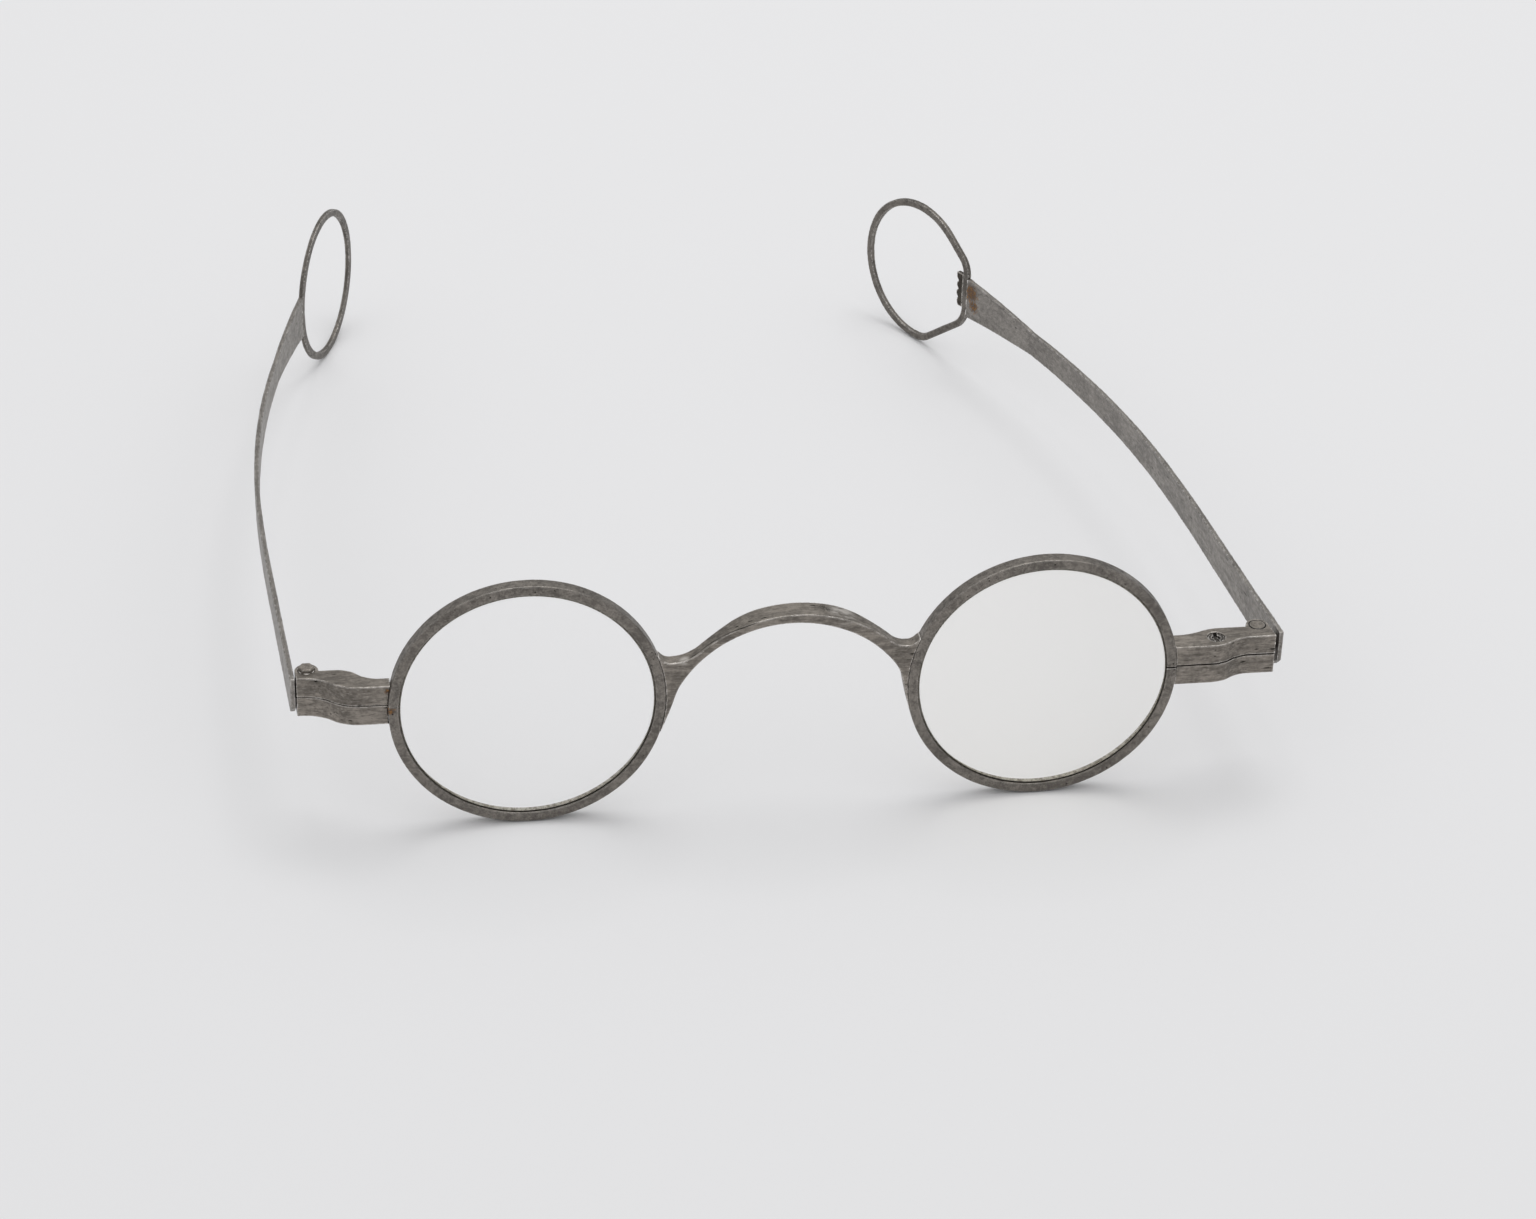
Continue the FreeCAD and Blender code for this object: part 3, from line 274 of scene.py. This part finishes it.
def old_steel(name, light, dark, warmth=0.06, pits=0.8, grain=(1.0, 1.0, 1.0), corner_grime_and_shade=1.0,
              rust=(), bright=(), dim=(), creases=(), scratches=(), seams=()):
    """Forged steel under an old patina: file marks, pits, grime and painted shade in corners, worn edges
    that also paint a highlight, rust.

    Rust, bright and dim spots are (x, y, z, radius) in millimetres. Creases and scratches are
    lines (points, half_width): creases darkened with painted shade, scratches bright. Seams are dark
    circles (x, y, z, radius, half_width).
    """
    material = bpy.data.materials.new(name)
    tree = Tree(material)
    place = tree.place()
    along = tree.vector("MULTIPLY", place, grain)
    mottle = tree.noise(place, *MOTTLE)
    speckle = tree.noise(place, *SPECKLE)
    marks = tree.noise(along, *FILE_MARKS)
    streaks = tree.noise(along, *STREAKS)

    # Patina, with its file marks and specks
    clouds = tree.noise(place, *CLOUDS)
    tone = tree.total((clouds, CLOUD_TONE), (mottle, MOTTLE_TONE), (streaks, STREAK_TONE))
    body = tree.mix(tree.band(tone, *TONE_BAND), grey(dark, warmth), grey(light, warmth))
    body = tree.mix(tree.band(marks, *DARK_MARK_BAND), body, grey(dark * DARK_MARK, warmth))
    filed = grey(light * LIGHT_MARK, warmth * LIGHT_MARK_WARMTH)
    body = tree.mix(tree.band(marks, *LIGHT_MARK_BAND), body, filed)
    body = tree.mix(tree.band(speckle, *SPECK_BAND), body, grey(dark * SPECK, warmth))

    # Pits, in clusters
    cells = tree.add("ShaderNodeTexVoronoi", {"Vector": along, "Scale": PIT_SCALE})
    clusters = tree.band(tree.noise(place, *PIT_CLUSTERS), *PIT_CLUSTER_BAND)
    pit = tree.math("MULTIPLY", tree.band(cells.outputs["Distance"], *PIT_BAND), clusters)
    pit = tree.math("MULTIPLY", pit, pits)
    body = tree.mix(pit, body, GRIME_AND_SHADE)

    # Edges worn bare and lightened as a painted highlight, except in corners
    rounded = tree.add("ShaderNodeBevel", {"Radius": EDGE_REACH}, samples=EDGE_RAYS)
    flat = tree.add("ShaderNodeNewGeometry").outputs["Normal"]
    wear_and_highlight = tree.band(tree.vector("DOT_PRODUCT", rounded.outputs[0], flat), *EDGE_BAND)
    corner = tree.add("ShaderNodeAmbientOcclusion", {"Distance": CORNER_REACH}, samples=CORNER_RAYS)
    shut_in = tree.band(corner.outputs["AO"], *CORNER_BAND)
    wear_and_highlight = tree.math("MULTIPLY", wear_and_highlight, tree.math("SUBTRACT", 1.0, shut_in))
    wear_and_highlight = tree.math("MULTIPLY", wear_and_highlight, tree.band(mottle, *EDGE_MOTTLE_BAND))
    body = tree.mix(wear_and_highlight, body, grey(WORN_EDGE_AND_HIGHLIGHT, warmth * WORN_EDGE_AND_HIGHLIGHT_WARMTH))

    # Marks at places seen in the photograph
    if bright:
        worn = tree.math("MULTIPLY", near(tree, place, bright), tree.band(streaks, *RUBBED_BAND))
        body = tree.mix(worn, body, grey(RUBBED, warmth * RUBBED_WARMTH))
    for points, half_width in scratches:
        scratch = near_line(tree, place, points, half_width)
        body = tree.mix(scratch, body, grey(SCRATCH, warmth * SCRATCH_WARMTH))
    if dim:
        tarnish = tree.math("MULTIPLY", near(tree, place, dim), tree.band(speckle, *TARNISH_BAND))
        body = tree.mix(tarnish, body, GRIME_AND_SHADE)
    # Painted shade along the creases
    for points, half_width in creases:
        crease_shade = tree.math("MULTIPLY", near_line(tree, place, points, half_width), CREASE_SHADE_AND_SEAM_GRIME)
        body = tree.mix(crease_shade, body, GRIME_AND_SHADE)
    for seam in seams:
        body = tree.mix(near_circle(tree, place, *seam), body, GRIME_AND_SHADE)
    # Grime and painted shade in the corners that ambient occlusion finds shut in
    body = tree.mix(tree.math("MULTIPLY", shut_in, CORNER_GRIME_AND_SHADE * corner_grime_and_shade), body, GRIME_AND_SHADE)

    # Rust over it all
    metallic = METAL
    roughness = tree.band(mottle, *ROUGHNESS_BAND)
    if rust:
        crust = tree.noise(place, *RUST_CRUST)
        ragged = tree.math("MULTIPLY", tree.math("SUBTRACT", crust, 0.5), RUST_SPREAD)
        bloom = tree.band(tree.math("ADD", near(tree, place, rust), ragged), *RUST_BAND)
        body = tree.mix(bloom, body, tree.mix(tree.band(crust, *RUST_SHADE_BAND), DARK_RUST, RUST))
        metallic = tree.math("SUBTRACT", METAL, tree.math("MULTIPLY", bloom, METAL_UNDER_RUST))
        rougher = tree.math("MULTIPLY", bloom, RUST_ROUGHNESS)
        roughness = tree.math("ADD", roughness, rougher, clamp=True)
    rougher = tree.math("MULTIPLY", pit, PIT_ROUGHNESS)
    roughness = tree.math("ADD", roughness, rougher, clamp=True)

    relief = tree.total((speckle, SPECKLE_RELIEF), (marks, MARK_RELIEF), (pit, PIT_RELIEF))
    bump = tree.add("ShaderNodeBump", {
        "Height": relief, "Strength": RELIEF_STRENGTH, "Distance": RELIEF_DEPTH,
    })
    shader = tree.add("ShaderNodeBsdfPrincipled", {
        "Base Color": body, "Metallic": metallic, "Roughness": roughness, "Normal": bump.outputs[0],
    })
    tree.finish(shader.outputs[0])
    return material


def lens_glass(name, tint):
    """Clear ground glass that lets the light through to the floor."""
    material = bpy.data.materials.new(name)
    tree = Tree(material)
    glass = tree.add("ShaderNodeBsdfPrincipled", {
        "Base Color": tint, "Roughness": 0.0, "IOR": GLASS_IOR, "Transmission Weight": 1.0,
    })
    clear = tree.add("ShaderNodeBsdfTransparent", {"Color": tint})
    path = tree.add("ShaderNodeLightPath")
    unlit = tree.math("MAXIMUM", path.outputs["Is Shadow Ray"], path.outputs["Is Diffuse Ray"])
    shader = tree.add("ShaderNodeMixShader", {0: unlit, 1: glass.outputs[0], 2: clear.outputs[0]})
    tree.finish(shader.outputs[0])
    return material


def ground_edge():
    """The lens's bevel, ground dull, with old dust in it."""
    material = bpy.data.materials.new("lens_ground_edge")
    tree = Tree(material)
    dust = tree.noise(tree.place(), *LENS_DUST)
    shader = tree.add("ShaderNodeBsdfPrincipled", {
        "Base Color": tree.mix(tree.band(dust, *LENS_DUST_BAND), GROUND_GLASS, DUSTY_GLASS),
        "Roughness": GROUND_ROUGHNESS, "IOR": GLASS_IOR,
    })
    tree.finish(shader.outputs[0])
    return material


def floor_finish():
    """A pale, nearly dull floor."""
    material = bpy.data.materials.new("pale_floor")
    tree = Tree(material)
    shader = tree.add("ShaderNodeBsdfPrincipled", {
        "Base Color": FLOOR_COLOUR, "Roughness": FLOOR_ROUGHNESS, "Specular IOR Level": FLOOR_SHEEN,
    })
    tree.finish(shader.outputs[0])
    return material


# Worn and hand-worked shapes over the exact solids
HAMMER_PITCH = 4.0 * MM
FILE_PITCH = 0.7 * MM
EASING = 0.5
EASING_TURNS = 2


def weather(node, voxel, wave, ripple):
    """Softens a piece's edges and lets its faces run uneven, as hammer and file leave them."""
    piece = NODES[node]
    remesh = piece.modifiers.new("worn", "REMESH")
    remesh.mode = "VOXEL"
    remesh.voxel_size = voxel
    remesh.use_smooth_shade = True
    smooth = piece.modifiers.new("softened", "SMOOTH")
    smooth.factor = EASING
    smooth.iterations = EASING_TURNS
    for name, pitch, depth in (("hammered", HAMMER_PITCH, wave), ("filed", FILE_PITCH, ripple)):
        texture = bpy.data.textures.new(f"{node}_{name}", "CLOUDS")
        texture.noise_scale = pitch
        texture.noise_depth = 1
        uneven = piece.modifiers.new(name, "DISPLACE")
        uneven.texture = texture
        uneven.texture_coords = "LOCAL"
        uneven.mid_level = 0.5
        uneven.strength = depth


def paint(node, material):
    mesh = NODES[node].data
    mesh.materials.clear()
    mesh.materials.append(material)


# Where the photograph shows marks on the steel, in millimetres
LEFT_JOINT_RUST = (-47.074, -59.308, 16.85, 1.0)
LEFT_JOINT_RUST_ON_RIM = (-47.024, -59.308, 16.85, 1.0)
LEFT_JOINT_UPPER_RUST = (-47.324, -59.008, 19.3, 0.7)
BRIDGE_RUBBED = (6.546, -57.328, 26.22, 2.4)
BRIDGE_FOOT_RUBBED = (-12.324, -58.908, 21.6, 0.9)
BRIDGE_TARNISH = (4.516, -57.088, 26.76, 1.3)
# A crease on the bridge, darkened with painted shade
BRIDGE_CREASE = (
    (-11.404, -58.908, 22.0), (-9.854, -58.708, 23.3), (-6.424, -58.958, 25.5), (-3.624, -59.008, 26.6),
)
BRIDGE_CREASE_WIDTH = 0.13
LEFT_SCRATCH = ((-15.024, -59.108, 21.6), (-13.424, -59.108, 21.45))
RIGHT_SCRATCH = ((12.676, -59.108, 22.4), (14.076, -59.108, 22.05), (15.376, -59.108, 22.5))
SCRATCH_WIDTH = 0.12
ARM_END_RUST = (40.476, 37.592, 12.6, 2.6)
ARM_END_LOWER_RUST = (40.876, 36.892, 10.9, 1.8)
RING_JOINT_RUST = (40.576, 37.392, 12.4, 2.4)
PATCH_RUST = (40.776, 37.192, 11.6, 2.0)
SCREW_SLOT_RUST = (52.786, -56.728, 18.6, 0.5)
RIGHT_PIN_HEAD = (58.382, -54.812, 19.38, 1.0, 0.16)

# How far file marks are drawn out: along x on the front, along y on the arms
FILED_ACROSS = (0.16, 1.0, 1.0)
FILED_BACK = (1.0, 0.12, 1.0)

FRONT = old_steel(
    "old_steel_front", 0.27, 0.135, warmth=0.07, pits=1.0, grain=FILED_ACROSS,
    rust=(LEFT_JOINT_RUST, LEFT_JOINT_UPPER_RUST),
    bright=(BRIDGE_RUBBED, BRIDGE_FOOT_RUBBED),
    dim=(BRIDGE_TARNISH,),
    creases=((BRIDGE_CREASE, BRIDGE_CREASE_WIDTH),),
    scratches=((LEFT_SCRATCH, SCRATCH_WIDTH), (RIGHT_SCRATCH, SCRATCH_WIDTH)),
    seams=(RIGHT_PIN_HEAD,),
)
ARM = old_steel(
    "old_steel_arm", 0.28, 0.18, warmth=0.045, pits=0.6, grain=FILED_BACK,
    rust=(ARM_END_RUST, ARM_END_LOWER_RUST),
)
RIM = old_steel("old_steel_rim", 0.23, 0.12, warmth=0.06, pits=1.0, rust=(LEFT_JOINT_RUST_ON_RIM,))
RING = old_steel("old_steel_ring", 0.19, 0.1, warmth=0.06, pits=0.6, rust=(RING_JOINT_RUST,))
PIN = old_steel("old_steel_pin", 0.27, 0.15, warmth=0.07, pits=0.3, seams=(RIGHT_PIN_HEAD,))
SCREW = old_steel("old_steel_screw", 0.12, 0.05, corner_grime_and_shade=1.2, rust=(SCREW_SLOT_RUST,))
BRAZE = old_steel("rusty_braze", 0.07, 0.035, warmth=0.1, rust=(PATCH_RUST,))
CLEAR = lens_glass("lens_glass_clear", LENS_TINT)
WARM_CLEAR = lens_glass("lens_glass_warm", WARM_LENS_TINT)
GROUND = ground_edge()

# For each kind of node: its steel, then voxel, hammered depth and filed depth in millimetres
WORN = {
    "temple_ring": (RING, 0.1, 0.05, 0.015),
    "temple": (ARM, 0.1, 0.05, 0.015),
    "hinge_pin": (PIN, 0.06, 0.02, 0.01),
    "closing_screw": (SCREW, 0.06, 0.02, 0.01),
    "repair_patch": (BRAZE, 0.06, 0.03, 0.03),
    "rim": (RIM, 0.08, 0.04, 0.015),
    "endpiece": (FRONT, 0.08, 0.04, 0.015),
    "bridge": (FRONT, 0.08, 0.04, 0.015),
}

for node in NODES:
    if node.startswith("lens"):
        paint(node, CLEAR)
        continue
    kind = next(start for start in WORN if node.startswith(start))
    material, *depths = WORN[kind]
    paint(node, material)
    weather(node, *(depth * MM for depth in depths))


# Lenses, turned from a fine profile so that the light passes them evenly
def make_lens(side, word, glass):
    """One lens, weak on both faces, with its ground bevel, in the place of the CAD model's own."""
    sag = (LENS_THICKNESS - LENS_EDGE) / 2
    profile = []
    for ring in range(1, LENS_RINGS + 1):
        radius = LENS_BEVEL_START * ring / LENS_RINGS
        profile.append((radius, LENS_THICKNESS / 2 - sag * (ring / LENS_RINGS) ** 2))
    front = [(radius, -level) for radius, level in profile]
    rings = front + [(LENS_RADIUS, 0.0)] + profile[::-1]
    points = [(0.0, -LENS_THICKNESS / 2, 0.0)]
    for radius, level in rings:
        for step in range(LENS_STEPS):
            angle = math.tau * step / LENS_STEPS
            points.append((radius * math.cos(angle), level, radius * math.sin(angle)))
    points.append((0.0, LENS_THICKNESS / 2, 0.0))
    faces = []
    for step in range(LENS_STEPS):
        following = (step + 1) % LENS_STEPS
        faces.append((0, 1 + step, 1 + following))
        for ring in range(len(rings) - 1):
            near_ring = 1 + ring * LENS_STEPS
            far_ring = near_ring + LENS_STEPS
            faces.append((near_ring + step, far_ring + step, far_ring + following, near_ring + following))
        last = 1 + (len(rings) - 1) * LENS_STEPS
        faces.append((len(points) - 1, last + following, last + step))
    mesh = bpy.data.meshes.new(f"ground_lens_{word}")
    mesh.from_pydata(points, [], faces)
    mesh.materials.append(glass)
    mesh.materials.append(GROUND)
    for face in mesh.polygons:
        radii = [math.hypot(points[corner][0], points[corner][2]) for corner in face.vertices]
        on_bevel = max(radii) > LENS_BEVEL_START * ROUNDING
        face.material_index = 1 if on_bevel else 0
        face.use_smooth = not on_bevel
    lens = bpy.data.objects.new(f"ground_lens_{word}", mesh)
    bpy.context.scene.collection.objects.link(lens)
    lean = Matrix.Rotation(FRONT_LEAN, 4, "X")
    centre = Matrix.Translation((side * LENS_CENTRE, RIM_MIDDLE, 0))
    lens.matrix_world = Matrix.Translation(FRONT_MIDDLE) @ lean @ centre
    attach(lens, "front")
    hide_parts(f"lens_{word}")


make_lens(-1, "left", CLEAR)
make_lens(1, "right", WARM_CLEAR)


# Floor, light and camera
def make_floor():
    mesh = bpy.data.meshes.new("floor")
    reach = FLOOR_REACH
    corners = [(-reach, -reach, 0), (reach, -reach, 0), (reach, reach, 0), (-reach, reach, 0)]
    mesh.from_pydata(corners, [], [(0, 1, 2, 3)])
    floor = bpy.data.objects.new("floor", mesh)
    bpy.context.scene.collection.objects.link(floor)
    mesh.materials.append(floor_finish())


def make_world():
    """Plain soft light from all round, stronger from above."""
    world = bpy.data.worlds.new("studio")
    bpy.context.scene.world = world
    tree = Tree(world)
    direction = tree.add("ShaderNodeTexCoord").outputs["Generated"]
    height = tree.add("ShaderNodeSeparateXYZ", {0: direction}).outputs["Z"]
    strength = tree.band(height, *SKY_HEIGHTS, *SKY_STRENGTHS)
    background = tree.add("ShaderNodeBackground", {"Color": WHITE, "Strength": strength})
    tree.add("ShaderNodeOutputWorld", {"Surface": background.outputs[0]})


def make_lamp():
    """A broad soft lamp above and behind the spectacles, aimed at the frame's middle."""
    light = bpy.data.lights.new("overhead", "AREA")
    light.shape = "DISK"
    light.size = LAMP_SIZE
    light.energy = LAMP_POWER
    lamp = bpy.data.objects.new("overhead", light)
    bpy.context.scene.collection.objects.link(lamp)
    lamp.location = LAMP_PLACE
    lamp.rotation_euler = (-LAMP_PLACE).to_track_quat("-Z", "Y").to_euler()


def make_camera():
    """Places the camera so that the image's middle is the lens's axis, as in the photograph."""
    forward = -Vector((
        math.sin(CAMERA_AZIMUTH) * math.cos(CAMERA_ELEVATION),
        -math.cos(CAMERA_AZIMUTH) * math.cos(CAMERA_ELEVATION),
        math.sin(CAMERA_ELEVATION),
    ))
    level = forward.cross(Vector((0, 0, 1))).normalized()
    upright = level.cross(forward)
    right = math.cos(CAMERA_ROLL) * level + math.sin(CAMERA_ROLL) * upright
    up = math.cos(CAMERA_ROLL) * upright - math.sin(CAMERA_ROLL) * level
    data = bpy.data.cameras.new("camera")
    data.sensor_fit = "HORIZONTAL"
    data.sensor_width = SENSOR_WIDTH
    data.lens = FOCAL_PIXELS * SENSOR_WIDTH / IMAGE_WIDTH
    data.clip_end = CAMERA_REACH
    camera = bpy.data.objects.new("camera", data)
    bpy.context.scene.collection.objects.link(camera)
    turn = Matrix((right, up, -forward)).transposed().to_4x4()
    camera.matrix_world = Matrix.Translation(CAMERA_PLACE) @ turn
    bpy.context.scene.camera = camera


make_floor()
make_world()
make_lamp()
make_camera()
bpy.context.scene.view_settings.view_transform = "Standard"
